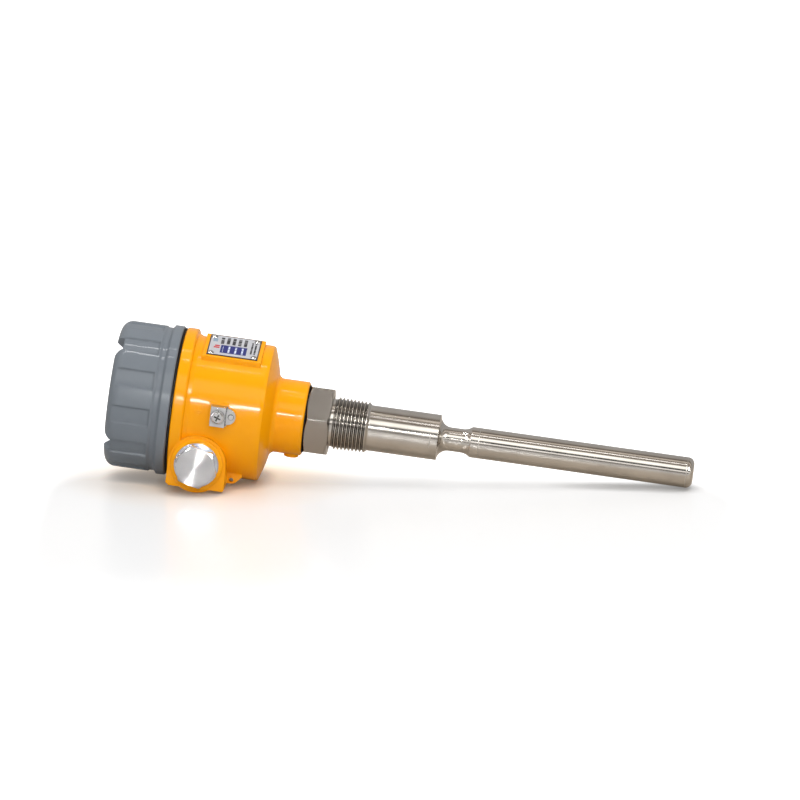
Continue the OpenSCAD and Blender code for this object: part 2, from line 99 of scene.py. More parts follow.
class Graph:
    """Nodes of one material, group or world, placed and wired by name."""

    def __init__(self, tree):
        self.tree = tree

    def add(self, kind, **values):
        node = self.tree.nodes.new(kind)
        for key, value in values.items():
            setattr(node, key, value)
        return node

    def link(self, out, into):
        self.tree.links.new(out, into)

    def feed(self, socket, value):
        """Link an output to a socket, or set the socket's own number, place or colour."""
        if isinstance(value, bpy.types.NodeSocket):
            self.link(value, socket)
        elif socket.type == "RGBA":
            socket.default_value = (*value, 1.0)
        else:
            socket.default_value = value

    def noise(self, vector, scale, detail=2.0, roughness=0.5):
        node = self.add("ShaderNodeTexNoise")
        self.feed(node.inputs["Vector"], vector)
        self.feed(node.inputs["Scale"], scale)
        self.feed(node.inputs["Detail"], detail)
        self.feed(node.inputs["Roughness"], roughness)
        return node.outputs["Fac"]

    def math(self, operation, *values):
        node = self.add("ShaderNodeMath", operation=operation)
        for socket, value in zip(node.inputs, values):
            self.feed(socket, value)
        return node.outputs[0]

    def remap(self, value, low, high, to_low, to_high):
        node = self.add("ShaderNodeMapRange")
        names = ("Value", "From Min", "From Max", "To Min", "To Max")
        for name, given in zip(names, (value, low, high, to_low, to_high)):
            self.feed(node.inputs[name], given)
        return node.outputs["Result"]

    def raised(self, base, mask, by):
        """The base value, raised by that much where the mask is 1."""
        return self.math("MULTIPLY_ADD", mask, by, base)

    def mix(self, factor, a, b):
        """Colour a, and colour b where the factor is 1."""
        node = self.add("ShaderNodeMix", data_type="RGBA")
        for index, value in ((0, factor), (6, a), (7, b)):
            self.feed(node.inputs[index], value)
        return node.outputs[2]

    def band(self, value, low, high):
        """1 where value lies between low and high, else 0."""
        return self.math("MULTIPLY", self.math("GREATER_THAN", value, low),
                         self.math("LESS_THAN", value, high))

    def box(self, u, v, left, low, right, top):
        return self.math("MULTIPLY", self.band(u, left, right), self.band(v, low, top))

    def either(self, *masks):
        total = masks[0]
        for mask in masks[1:]:
            total = self.math("MAXIMUM", total, mask)
        return total

    def vector(self, operation, *values, scale=None):
        node = self.add("ShaderNodeVectorMath", operation=operation)
        for socket, value in zip(node.inputs, values):
            self.feed(socket, value)
        if scale is not None:
            self.feed(node.inputs["Scale"], scale)
        gives_number = operation in ("LENGTH", "DOT_PRODUCT")
        return node.outputs["Value" if gives_number else "Vector"]

    def split(self, vector):
        node = self.add("ShaderNodeSeparateXYZ")
        self.link(vector, node.inputs[0])
        return node.outputs["X"], node.outputs["Y"], node.outputs["Z"]

    def join(self, x, y):
        node = self.add("ShaderNodeCombineXYZ")
        self.link(x, node.inputs[0])
        self.link(y, node.inputs[1])
        return node.outputs[0]

    def off_x(self, vector):
        """How far a place lies from the X axis."""
        return self.vector("LENGTH", self.vector("MULTIPLY", vector, (0.0, 1.0, 1.0)))

    def out_of_y(self, vector):
        """The part of a place that leads straight away from the Y axis."""
        return self.vector("MULTIPLY", vector, (1.0, 0.0, 1.0))

    def to_world(self, vector):
        node = self.add("ShaderNodeVectorTransform", vector_type="VECTOR",
                        convert_from="OBJECT", convert_to="WORLD")
        self.link(vector, node.inputs[0])
        return node.outputs[0]

    def corners(self, reach, share):
        """How far a place is shut in by what stands round it, up to the share."""
        node = self.add("ShaderNodeAmbientOcclusion", samples=8)
        node.inputs["Distance"].default_value = reach
        return self.remap(node.outputs["AO"], *PAINTED_SHADE_AO_RANGE, share, 0.0)

    def soft_edges(self, radius):
        node = self.add("ShaderNodeBevel", samples=4)
        self.feed(node.inputs["Radius"], radius)
        return node.outputs["Normal"]

    def bump(self, height, strength, distance, normal):
        node = self.add("ShaderNodeBump")
        node.inputs["Strength"].default_value = strength
        node.inputs["Distance"].default_value = distance
        self.link(height, node.inputs["Height"])
        self.link(normal, node.inputs["Normal"])
        return node.outputs["Normal"]


NUMBER, VECTOR = "NodeSocketFloat", "NodeSocketVector"


def new_group(name, inputs, outputs):
    tree = bpy.data.node_groups.new(name, "ShaderNodeTree")
    for label, kind, value in inputs:
        socket = tree.interface.new_socket(label, in_out="INPUT", socket_type=kind)
        if kind == NUMBER:
            socket.default_value = value
    for label, kind in outputs:
        tree.interface.new_socket(label, in_out="OUTPUT", socket_type=kind)
    graph = Graph(tree)
    return graph, graph.add("NodeGroupInput").outputs, graph.add("NodeGroupOutput").inputs


def make_paint_skin():
    """Sprayed paint on a casting: fine orange peel over the slow waves of the cast wall."""
    graph, given, out = new_group(
        "paint_skin",
        [("Vector", VECTOR, None), ("Peel Scale", NUMBER, 900.0),
         ("Cast Scale", NUMBER, 60.0), ("Cast Share", NUMBER, 0.5)],
        [("Height", NUMBER), ("Tint", NUMBER), ("Dust", NUMBER)])
    peel = graph.noise(given["Vector"], given["Peel Scale"], detail=1.0)
    cast = graph.noise(given["Vector"], given["Cast Scale"])
    graph.link(graph.math("MULTIPLY_ADD", cast, given["Cast Share"], peel), out["Height"])
    graph.link(graph.remap(cast, 0.3, 0.7, 0.0, 1.0), out["Tint"])
    specks = graph.noise(given["Vector"], 2600.0, detail=3.0, roughness=0.7)
    graph.link(graph.remap(specks, 0.66, 0.72, 0.0, 1.0), out["Dust"])
    return graph.tree


def make_turning_marks():
    """Fine rings that a lathe leaves round the X axis, with a few deeper ones."""
    graph, given, out = new_group(
        "turning_marks", [("Vector", VECTOR, None), ("Pitch", NUMBER, 0.25 * MM)],
        [("Height", NUMBER), ("Gloss", NUMBER)])
    steps = graph.math("DIVIDE", graph.split(given["Vector"])[0], given["Pitch"])
    rings = graph.add("ShaderNodeTexNoise", noise_dimensions="1D")
    rings.inputs["Scale"].default_value = 1.0
    rings.inputs["Detail"].default_value = 3.0
    graph.link(steps, rings.inputs["W"])
    graph.link(rings.outputs["Fac"], out["Height"])
    smear = graph.noise(given["Vector"], 45.0, detail=3.0, roughness=0.6)
    gloss = graph.math("MULTIPLY_ADD", rings.outputs["Fac"], 0.4, smear)
    graph.link(graph.remap(gloss, 0.45, 0.95, 0.0, 1.0), out["Gloss"])
    return graph.tree


def make_handling():
    """Smudges and fine scratches from handling."""
    graph, given, out = new_group(
        "handling", [("Vector", VECTOR, None), ("Scale", NUMBER, 70.0)],
        [("Smudge", NUMBER), ("Scratch", NUMBER)])
    smudge = graph.noise(given["Vector"], given["Scale"], detail=4.0)
    graph.link(graph.remap(smudge, 0.4, 0.7, 0.0, 1.0), out["Smudge"])
    stretch = graph.add("ShaderNodeMapping")
    stretch.inputs["Scale"].default_value = (900.0, 60.0, 60.0)
    stretch.inputs["Rotation"].default_value = (0.3, 0.5, 0.4)
    graph.link(given["Vector"], stretch.inputs["Vector"])
    lines = graph.noise(stretch.outputs[0], 1.0, detail=1.0)
    graph.link(graph.remap(lines, 0.72, 0.76, 0.0, 1.0), out["Scratch"])
    return graph.tree


def make_faced_rings():
    """Tool rings of a face turned about Y: each ring tips the surface in or out a little."""
    graph, given, out = new_group(
        "faced_rings",
        [("Vector", VECTOR, None), ("Normal", VECTOR, None),
         ("Slope", NUMBER, 0.3), ("Pitch", NUMBER, 0.04 * MM)],
        [("Normal", VECTOR)])
    outwards = graph.out_of_y(given["Vector"])
    steps = graph.math("DIVIDE", graph.vector("LENGTH", outwards), given["Pitch"])
    rings = graph.add("ShaderNodeTexWhiteNoise", noise_dimensions="1D")
    graph.link(graph.math("FLOOR", steps), rings.inputs["W"])
    either_way = graph.math("SUBTRACT", rings.outputs["Value"], 0.5)
    tip = graph.math("MULTIPLY", either_way, given["Slope"])
    lean = graph.vector("SCALE", graph.to_world(graph.vector("NORMALIZE", outwards)), scale=tip)
    tipped = graph.vector("ADD", given["Normal"], lean)
    graph.link(graph.vector("NORMALIZE", tipped), out["Normal"])
    return graph.tree


def make_screw_ridges():
    """Ridges of a right-hand thread about the X axis."""
    graph, given, out = new_group(
        "screw_ridges", [("Vector", VECTOR, None), ("Pitch", NUMBER, 2 * MM)],
        [("Height", NUMBER)])
    x, y, z = graph.split(given["Vector"])
    turns = graph.math("DIVIDE", graph.math("ARCTAN2", z, y), 2 * math.pi)
    steps = graph.math("SUBTRACT", graph.math("DIVIDE", x, given["Pitch"]), turns)
    graph.link(graph.math("PINGPONG", steps, 0.5), out["Height"])
    return graph.tree


PAINT_SKIN = make_paint_skin()
TURNING = make_turning_marks()
HANDLING = make_handling()
FACED_RINGS = make_faced_rings()
SCREW_RIDGES = make_screw_ridges()


def place(graph, tree, vector, **values):
    """One use of a group, with its own values."""
    node = graph.add("ShaderNodeGroup", node_tree=tree)
    graph.link(vector, node.inputs["Vector"])
    for key, value in values.items():
        graph.feed(node.inputs[key], value)
    return node.outputs


def shaded(color, share):
    return tuple(channel * share for channel in color)


def new_material(name, color, roughness, metallic=0.0):
    mat = bpy.data.materials.new(name)
    mat.use_nodes = True
    mat.diffuse_color = (*color, 1.0)
    graph = Graph(mat.node_tree)
    shader = mat.node_tree.nodes["Principled BSDF"]
    shader.inputs["Base Color"].default_value = (*color, 1.0)
    shader.inputs["Roughness"].default_value = roughness
    shader.inputs["Metallic"].default_value = metallic
    coords = graph.add("ShaderNodeTexCoord").outputs["Object"]
    return mat, graph, shader, coords


# Painted castings and their threads

PAINT_GLOSS = 0.06
COAT_ROUGHNESS = 0.06
AXIS_THREAD_PITCH, AXIS_THREAD_DEPTH = 2 * MM, 1.2 * MM
ENTRY_THREAD_PITCH, ENTRY_THREAD_DEPTH = 1.5 * MM, 1 * MM


def axis_thread(along):
    """A thread about the sensor axis, where spigot and cover meet."""
    def cut(graph, coords, normal):
        low, high = SPIGOT_THREAD_RADII
        where = graph.box(graph.split(coords)[0], graph.off_x(coords),
                          along[0], low, along[1], high)
        ridges = place(graph, SCREW_RIDGES, coords, Pitch=AXIS_THREAD_PITCH)
        height = graph.math("MULTIPLY", ridges["Height"], where)
        return graph.bump(height, 1.0, AXIS_THREAD_DEPTH, normal)
    return cut


def entry_thread(graph, coords, normal):
    """The thread in the open cable entry at the back."""
    centred = graph.vector("SUBTRACT", coords, ENTRY_CENTRE)
    turn = graph.add("ShaderNodeMapping", vector_type="POINT")
    turn.inputs["Rotation"].default_value = (0.0, 0.0, -math.pi / 2)
    graph.link(centred, turn.inputs["Vector"])
    radius = graph.vector("LENGTH", graph.out_of_y(centred))
    where = graph.box(graph.split(coords)[1], radius,
                      ENTRY_THREAD[0], 0.0, ENTRY_THREAD[1], ENTRY_THREAD_RADIUS)
    ridges = place(graph, SCREW_RIDGES, turn.outputs[0], Pitch=ENTRY_THREAD_PITCH)
    height = graph.math("MULTIPLY", ridges["Height"], where)
    return graph.bump(height, 1.0, ENTRY_THREAD_DEPTH, normal)


def painted(name, color, shade, roughness, coat, edge, skin_values, relief, threads=()):
    """Paint that wanders a little from its colour to the shade, under a thin clear coat."""
    mat, graph, shader, coords = new_material(name, color, roughness)
    skin = place(graph, PAINT_SKIN, coords, **skin_values)
    marks = place(graph, HANDLING, coords, Scale=40.0)
    tone = graph.mix(graph.math("MULTIPLY", skin["Tint"], 0.35), color, shade)
    graph.link(tone, shader.inputs["Base Color"])
    rough = graph.raised(roughness - 0.03, marks["Smudge"], by=0.10)
    rough = graph.raised(rough, skin["Dust"], by=0.12)
    graph.link(rough, shader.inputs["Roughness"])
    normal = graph.bump(skin["Height"], relief, 0.1 * MM, graph.soft_edges(edge))
    for thread in threads:
        normal = thread(graph, coords, normal)
    graph.link(normal, shader.inputs["Normal"])
    shader.inputs["Specular IOR Level"].default_value = PAINT_GLOSS
    shader.inputs["Coat Weight"].default_value = coat
    shader.inputs["Coat Roughness"].default_value = COAT_ROUGHNESS
    return mat


ORANGE_SKIN = {"Peel Scale": 700.0, "Cast Scale": 55.0, "Cast Share": 1.2}
GREY_SKIN = {"Peel Scale": 1500.0, "Cast Scale": 90.0, "Cast Share": 0.6}
ORANGE = painted("orange_paint", (0.92, 0.365, 0.0015), (0.87, 0.325, 0.0015),
                 roughness=0.20, coat=0.23, edge=0.9 * MM, skin_values=ORANGE_SKIN, relief=0.05,
                 threads=(axis_thread(SPIGOT_THREAD), entry_thread))
GREY = painted("grey_paint", (0.175, 0.196, 0.219), (0.158, 0.178, 0.200),
               roughness=0.42, coat=0.28, edge=1.6 * MM, skin_values=GREY_SKIN, relief=0.04,
               threads=(axis_thread(COVER_THREAD),))
# The sign is cast with the housing; its paint is a lighter copy of the orange, a painted highlight on
# its raised strokes.
CAST_SIGN = painted("cast_sign_paint", (0.95, 0.42, 0.004), (0.91, 0.36, 0.002),
                    roughness=0.20, coat=0.32, edge=0.1 * MM, skin_values=ORANGE_SKIN, relief=0.05)


# Metals

FINE_RELIEF = 0.02 * MM


def turned_metal(name, color, roughness, pitch, relief, edge, bar=None, thread=None):
    """Turned steel, with the flats of rolled bar and a thread each between two places on X; painted
    shade darkens the flats and the thread's roots.
    """
    mat, graph, shader, coords = new_material(name, color, roughness, 1.0)
    rings = place(graph, TURNING, coords, Pitch=pitch)
    marks = place(graph, HANDLING, coords, Scale=60.0)
    tone = graph.mix(marks["Smudge"], color, shaded(color, 0.86))
    rough = graph.raised(roughness - 0.03, rings["Gloss"], by=0.08)
    rough = graph.raised(rough, marks["Scratch"], by=0.12)
    along = graph.split(coords)[0]
    rounding = edge
    if bar:
        flats = graph.band(along, *bar)
        # Painted shade: the hexagon's flats are darker, for the dim room that they mirror.
        tone = graph.mix(flats, tone, shaded(color, 0.64))
        rough = graph.raised(rough, flats, by=0.03)
        rounding = graph.raised(edge, flats, by=3 * edge)
    if thread:
        cut = graph.band(along, *thread)
        radius = graph.math("MULTIPLY_ADD", along, TAPER, graph.off_x(coords))
        painted_root_shade = graph.remap(radius, CREST_RADIUS, GROOVE_RADIUS, 0.0, 0.55)
        # Painted shade: the thread's roots darken with their depth below the crests.
        tone = graph.mix(graph.math("MULTIPLY", cut, painted_root_shade), tone, shaded(color, 0.2))
    graph.link(tone, shader.inputs["Base Color"])
    graph.link(rough, shader.inputs["Roughness"])
    normal = graph.bump(rings["Height"], relief, FINE_RELIEF, graph.soft_edges(rounding))
    graph.link(normal, shader.inputs["Normal"])
    return mat


def faced_metal(name, color, roughness, centre, slope):
    """Metal with a face turned about Y through the centre, which spreads light outwards."""
    mat, graph, shader, coords = new_material(name, color, roughness, 1.0)
    marks = place(graph, HANDLING, coords, Scale=80.0)
    tone = graph.mix(graph.math("MULTIPLY", marks["Smudge"], 0.6), color, shaded(color, 0.85))
    graph.link(tone, shader.inputs["Base Color"])
    rough = graph.raised(roughness, marks["Scratch"], by=0.10)
    graph.link(rough, shader.inputs["Roughness"])
    centred = graph.vector("SUBTRACT", coords, centre)
    faced = place(graph, FACED_RINGS, centred, Normal=graph.soft_edges(0.3 * MM), Slope=slope)
    graph.link(faced["Normal"], shader.inputs["Normal"])
    outwards = graph.vector("NORMALIZE", graph.to_world(graph.out_of_y(centred)))
    graph.link(outwards, shader.inputs["Tangent"])
    shader.inputs["Anisotropic"].default_value = 1.0
    return mat


STEEL = (0.50, 0.475, 0.44)
STAINLESS = turned_metal("turned_stainless", STEEL, roughness=0.12, pitch=0.3 * MM, relief=0.16,
                         edge=0.3 * MM, bar=HEXAGON, thread=TAPER_THREAD)
ROD_STEEL = turned_metal("polished_stainless", STEEL, roughness=0.10, pitch=0.5 * MM, relief=0.08,
                         edge=0.3 * MM)
PLUG = faced_metal("plug_metal", (0.47, 0.47, 0.48), roughness=0.21, centre=ENTRY_CENTRE,
                   slope=0.05)


# Parts of one colour

def plain_part(name, color, roughness, metallic=0.0, grain=900.0, relief=0.2, edge=0.2 * MM,
               painted_corner_shade=0.0):
    """A part of one colour with a fine grain; painted shade darkens its corners."""
    mat, graph, shader, coords = new_material(name, color, roughness, metallic)
    marks = place(graph, HANDLING, coords, Scale=110.0)
    height = graph.noise(coords, grain, roughness=0.6)
    tone = graph.mix(graph.math("MULTIPLY", marks["Smudge"], 0.5), color, shaded(color, 0.8))
    if painted_corner_shade:
        # Painted shade: the colour darkens nearly to black where the part is shut in.
        tone = graph.mix(graph.corners(3 * MM, painted_corner_shade), tone, shaded(color, 0.05))
    graph.link(tone, shader.inputs["Base Color"])
    rough = graph.raised(roughness - 0.04, height, by=0.08)
    graph.link(rough, shader.inputs["Roughness"])
    normal = graph.bump(height, relief, FINE_RELIEF, graph.soft_edges(edge))
    graph.link(normal, shader.inputs["Normal"])
    return mat


WELD = plain_part("weld_bead", (0.46, 0.44, 0.41), roughness=0.28, metallic=1.0, grain=1500.0,
                  relief=0.5)
RUBBER = plain_part("black_rubber", (0.006, 0.005, 0.005), roughness=0.65, grain=1200.0, relief=0.4)
RUBBER.node_tree.nodes["Principled BSDF"].inputs["Specular IOR Level"].default_value = 0.15
# The plated steel gets painted shade in its corners and along its edges.
PLATED = plain_part("plated_steel", (0.48, 0.48, 0.48), roughness=0.14, metallic=1.0, relief=0.1,
                    edge=0.3 * MM, painted_corner_shade=0.95)
DARK_STEEL = plain_part("screw_steel", (0.42, 0.41, 0.40), roughness=0.34, metallic=1.0)
CERAMIC = plain_part("fired_ceramic", (0.72, 0.69, 0.58), roughness=0.45)
BRASS = plain_part("rolled_brass", (0.72, 0.50, 0.20), roughness=0.30, metallic=1.0)
SHEATH = plain_part("lead_sheath", (0.02, 0.02, 0.02), roughness=0.5)
POTTING = plain_part("module_black", (0.018, 0.019, 0.021), roughness=0.42, grain=500.0, relief=0.5)
TERMINAL_GREEN = plain_part("terminal_green", (0.035, 0.17, 0.065), roughness=0.42, relief=0.25)
TRIMMER_BLUE = plain_part("trimmer_blue", (0.02, 0.06, 0.32), roughness=0.35)
CREAM = plain_part("cream_plastic", (0.68, 0.64, 0.52), roughness=0.45)
SWITCH_BLACK = plain_part("switch_black", (0.02, 0.02, 0.02), roughness=0.45)
LAMP_GREEN = plain_part("lamp_green", (0.03, 0.50, 0.10), roughness=0.18, grain=300.0, relief=0.05)


# Nameplate

PLATE_SHEET = (0.66, 0.67, 0.71)
PLATE_INK_AND_SHADE = (0.02, 0.02, 0.025)
PLATE_BLUE = (0.006, 0.012, 0.15)
PLATE_RED = (0.50, 0.01, 0.02)
PLATE_PALE = (0.60, 0.65, 0.80)
PLATE_TINT = (0.05, 0.25, 0.45)
PRINT_STEP = 0.9 * MM
COLUMN_STRIDE = 7.3
GAP_LEVEL = 0.36
PLATE_HALF = 12.5 * MM


def printed_plate():
    """Sheet with a plain print: a blue field, a red mark, and rows of dark bars."""
    mat, graph, shader, coords = new_material("printed_plate", PLATE_SHEET, 0.35, 0.6)
    u = graph.math("SUBTRACT", graph.split(coords)[0], PLATE_LEFT)
    uphill = (0.0, math.cos(PLATE_LEAN), math.sin(PLATE_LEAN))
    v = graph.math("ADD", graph.vector("DOT_PRODUCT", coords, uphill), PLATE_HALF)

    def field(left, low, right, top):
        """A field whose sides are in millimetres from the plate's left end and lower side."""
        return graph.box(u, v, left * MM, low * MM, right * MM, top * MM)

    def bars(left, right, low, top, pitch, share, seed):
        """Short bars that stand for lines of print, of uneven length."""
        steps = graph.math("DIVIDE", u, pitch * MM)
        inside = graph.math("LESS_THAN", graph.math("FRACT", steps), share)
        letters = graph.add("ShaderNodeTexNoise", noise_dimensions="2D")
        letters.inputs["Scale"].default_value = 1.0
        letters.inputs["Detail"].default_value = 1.0
        column = graph.math("MULTIPLY_ADD", graph.math("FLOOR", steps), COLUMN_STRIDE, seed)
        line = graph.math("DIVIDE", v, PRINT_STEP)
        graph.link(graph.join(column, line), letters.inputs["Vector"])
        word = graph.math("GREATER_THAN", letters.outputs["Fac"], GAP_LEVEL)
        printed = graph.math("MULTIPLY", inside, word)
        return graph.math("MULTIPLY", printed, field(left, low, right, top))

    block = field(7.8, 3.4, 24.2, 13.2)
    rows = graph.either(bars(6.0, 25.0, 14.5, 22.8, pitch=3.6, share=0.55, seed=1.0),
                        bars(25.5, 30.0, 6.0, 20.5, pitch=2.2, share=0.50, seed=5.0))
    pale_bars = bars(9.2, 23.8, 4.4, 12.2, pitch=4.2, share=0.26, seed=9.0)
    light_rows = graph.math("MULTIPLY", block, pale_bars)
    mark = graph.either(field(3.4, 8.8, 7.0, 10.4), field(4.0, 11.0, 7.0, 12.6))
    tint = field(2.2, 16.5, 5.0, 20.5)
    # A printed dark border, which also stands in as painted shadow along the plate's edges.
    ink_border_and_edge_shade = graph.math("SUBTRACT", 1.0, field(0.7, 0.7, 31.3, 24.3))

    color = graph.mix(graph.either(rows, ink_border_and_edge_shade), PLATE_SHEET, PLATE_INK_AND_SHADE)
    color = graph.mix(graph.math("MULTIPLY", tint, 0.5), color, PLATE_TINT)
    color = graph.mix(block, color, PLATE_BLUE)
    color = graph.mix(light_rows, color, PLATE_PALE)
    color = graph.mix(mark, color, PLATE_RED)
    # Painted shade: the sheet turns ink-dark where it is shut in, round the rivets and along the edges.
    color = graph.mix(graph.corners(2.4 * MM, 0.95), color, PLATE_INK_AND_SHADE)
    graph.link(color, shader.inputs["Base Color"])
    marks = place(graph, HANDLING, coords, Scale=110.0)
    rough = graph.raised(0.30, marks["Smudge"], by=0.12)
    graph.link(rough, shader.inputs["Roughness"])
    inked = graph.either(rows, block, mark, ink_border_and_edge_shade)
    graph.link(graph.raised(0.6, inked, by=-0.6), shader.inputs["Metallic"])
    grain = graph.noise(coords, 900.0, roughness=0.6)
    normal = graph.bump(grain, 0.1, FINE_RELIEF, graph.soft_edges(0.1 * MM))
    graph.link(normal, shader.inputs["Normal"])
    return mat


SHEET = printed_plate()


# What each CAD piece is finished with

FINISH = {
    "housing": ORANGE, "cover": GREY, "cover_seal_ring": RUBBER, "neck_gasket": RUBBER,
    "nameplate": SHEET, "nameplate_rivets": PLATED,
    "earth_base_plate": PLATED, "earth_clamp": PLATED, "earth_spring_washer": DARK_STEEL,
    "earth_screw": PLATED, "entry_plug": PLUG, "entry_plug_washer": PLUG,
    "neck_set_screw": DARK_STEEL, "retaining_ring": DARK_STEEL,
    "process_connection": STAINLESS, "vibrating_rod": ROD_STEEL, "rod_tip_plug": ROD_STEEL,
    "inner_resonator": STAINLESS, "stack_bolt": DARK_STEEL, "stack_nut": DARK_STEEL,
    "piezo_rings": CERAMIC, "insulating_rings": CERAMIC, "electrode_rings": BRASS,
    "sensor_lead": SHEATH, "electronics_module": POTTING, "module_screws": DARK_STEEL,
    "terminal_block": TERMINAL_GREEN, "terminal_screws": DARK_STEEL,
    "sensitivity_trimmer": TRIMMER_BLUE, "trimmer_rotor": CREAM,
    "mode_switch": SWITCH_BLACK, "mode_slider": CREAM, "indicator_led": LAMP_GREEN,
    "inner_earth_screw": BRASS, "inner_earth_washer": PLATED,
}
for node, mat in FINISH.items():
    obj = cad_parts[node]
    obj.data.materials.clear()
    obj.data.materials.append(mat)


# Small pieces that the plain solids leave out

def mesh_object(name, bm, material):
    mesh = bpy.data.meshes.new(name)
    bm.to_mesh(mesh)
    bm.free()
    mesh.materials.append(material)
    piece = bpy.data.objects.new(name, mesh)
    scene.collection.objects.link(piece)
    return piece


def add_piece(name, bm, material, body):
    bmesh.ops.recalc_face_normals(bm, faces=bm.faces)
    piece = mesh_object(name, bm, material)
    for face in piece.data.polygons:
        face.use_smooth = True
    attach(piece, body)


def weld_ring(name, x, radius, thickness):
    """A closed round bead about the sensor axis."""
    bm = bmesh.new()
    bmesh.ops.create_circle(bm, segments=12, radius=thickness)
    bmesh.ops.rotate(bm, verts=bm.verts, matrix=Matrix.Rotation(math.pi / 2, 3, "X"))
    bmesh.ops.translate(bm, verts=bm.verts, vec=(x, 0.0, radius))
    bmesh.ops.spin(bm, geom=bm.edges[:] + bm.verts[:], axis=(1.0, 0.0, 0.0),
                   angle=2 * math.pi, steps=96, use_merge=True)
    bmesh.ops.remove_doubles(bm, verts=bm.verts, dist=0.01 * MM)
    add_piece(name, bm, WELD, "sensor")


weld_ring("neck_weld", ROD_START, radius=9.30 * MM, thickness=0.42 * MM)
weld_ring("tip_weld", ROD_END, radius=9.32 * MM, thickness=0.38 * MM)

# The cast sign, with the width, height and place of its strokes in millimetres
EARTH_SIGN_AT = (-80.5 * MM, 0.0, 0.0)
HOUSING_WALL = 42.5 * MM
SIGN_DEPTH = 1.2 * MM
SIGN_ROUNDING = 0.12 * MM
SIGN_LEAN = math.radians(-7.5)
SIGN_STROKES = [(0.6, 2.2, 1.5), (4.8, 0.6, 0.1), (3.2, 0.6, -1.1), (1.6, 0.6, -2.3)]


def earth_mark():
    """Cast earth sign beside the outer terminal: a stem over three bars."""
    bm = bmesh.new()
    for width, height, up in SIGN_STROKES:
        made = bmesh.ops.create_cube(bm, size=1.0)["verts"]
        bmesh.ops.scale(bm, verts=made, vec=(width * MM, SIGN_DEPTH, height * MM))
        bmesh.ops.translate(bm, verts=made, vec=(0.0, -HOUSING_WALL, up * MM))
    bmesh.ops.bevel(bm, geom=bm.edges[:], offset=SIGN_ROUNDING, affect="EDGES", segments=2,
                    profile=0.5, material=-1)
    bmesh.ops.rotate(bm, verts=bm.verts, matrix=Matrix.Rotation(SIGN_LEAN, 3, "X"))
    bmesh.ops.translate(bm, verts=bm.verts, vec=EARTH_SIGN_AT)
    add_piece("earth_mark", bm, CAST_SIGN, "housing")


earth_mark()


# Lamps

OBJECT_MIDDLE = (0.03, 0.0, 0.0)


def place_over(elevation, distance, x):
    """A place over the front of the object, at that angle above the horizontal."""
    angle = math.radians(elevation)
    return (x, -math.cos(angle) * distance, math.sin(angle) * distance)


def area_lamp(name, at, aim, width, height, power):
    data = bpy.data.lights.new(name, "AREA")
    data.shape = "RECTANGLE"
    data.size, data.size_y = width, height
    data.energy = power
    lamp = bpy.data.objects.new(name, data)
    scene.collection.objects.link(lamp)
    lamp.visible_camera = False
    lamp.location = at
    lamp.rotation_mode = "QUATERNION"
    lamp.rotation_quaternion = (Vector(at) - Vector(aim)).to_track_quat("Z", "Y")
    return lamp


def soft_lamp(name, elevation, distance, width, height, power):
    """A lamp in front that lights the paint and the floor, and isn't mirrored."""
    at = place_over(elevation, distance, 0.0)
    area_lamp(name, at, OBJECT_MIDDLE, width, height, power).visible_glossy = False


def glint(name, at, aim, width, height, power):
    """A narrow lamp that is only seen mirrored, as a line or a spot."""
    lamp = area_lamp(name, at, aim, width, height, power)
    lamp.visible_diffuse = False
    return lamp


def glint_over(name, elevation, distance, x, width, height, power):
    """A glint along X, whose place on X picks the pieces that mirror it."""
    glint(name, place_over(elevation, distance, x), (x, 0.0, 0.0), width, height, power)


soft_lamp("overhead", elevation=88, distance=1.1, width=1.6, height=0.3, power=6)
soft_lamp("key", elevation=18, distance=1.9, width=0.9, height=0.08, power=4)
soft_lamp("soft_box", elevation=42, distance=1.3, width=1.6, height=0.55, power=6)
glint_over("glint_low", elevation=18, distance=1.8, x=-0.172, width=0.10, height=0.09, power=2.9)
glint_over("glint_high", elevation=80, distance=1.05, x=-0.427, width=0.70, height=0.014, power=1.2)
glint_over("glint_back", elevation=97, distance=1.05, x=-0.427, width=0.70, height=0.014, power=1.2)
glint_over("glint_steel", elevation=72, distance=1.05, x=0.115, width=0.27, height=0.055, power=0.18)
glint("glint_left", (-1.05, -0.95, 0.95), OBJECT_MIDDLE, width=0.15, height=0.7, power=20)
glint("glint_right", (1.15, -0.95, 0.95), OBJECT_MIDDLE, width=0.15, height=0.7, power=10)
plug_lamp = glint("glint_plug", (0.057, -1.608, 0.456), ENTRY_FACE, width=0.03, height=0.03, power=0.12)
plug_lamp.data.spread = math.radians(6)


# Floor

FLOOR_GREY = (0.55, 0.55, 0.55)
# What mirrors see of the floor: painted light in front, and painted shade with orange bounce light
# under the object.
MIRRORED_PAINTED_LIGHT = (0.66, 0.64, 0.62)
MIRRORED_PAINTED_SHADE = (0.60, 0.52, 0.43)
# Painted bounce light: the colour that the floor glows with near the orange housing.
PAINTED_BOUNCE_LIGHT = (1.0, 0.72, 0.46)
WHITE = (1.0, 1.0, 1.0)
SHADOW_MIDDLE = 45 * MM
SHADOW_HALF = 187 * MM
SHADOW_BACK = -52 * MM
FADE_BEHIND, FADE_PAST_ENDS = 6.0, 12.0
SHADOW_FADE = (0.25, 0.65)
SHADED_GLOW = 0.355
WARM_REACH = (0.03, 0.10)
FLOOR_REACH = 6.0
UNDER_HEAD = (-70 * MM, 0.0, -45 * MM)


def distance_from_shadow(graph, x, y):
    """How far a place on the floor lies from the strip under the object, fastest past its ends."""
    off_middle = graph.math("ABSOLUTE", graph.math("SUBTRACT", x, SHADOW_MIDDLE))
    past_end = graph.math("MAXIMUM", graph.math("SUBTRACT", off_middle, SHADOW_HALF), 0.0)
    behind = graph.math("MULTIPLY", graph.math("SUBTRACT", y, SHADOW_BACK), FADE_BEHIND)
    in_front = graph.math("MULTIPLY", y, -1.0)
    aside = graph.join(graph.math("MULTIPLY", past_end, FADE_PAST_ENDS),
                       graph.math("MAXIMUM", behind, in_front))
    return graph.vector("LENGTH", aside)


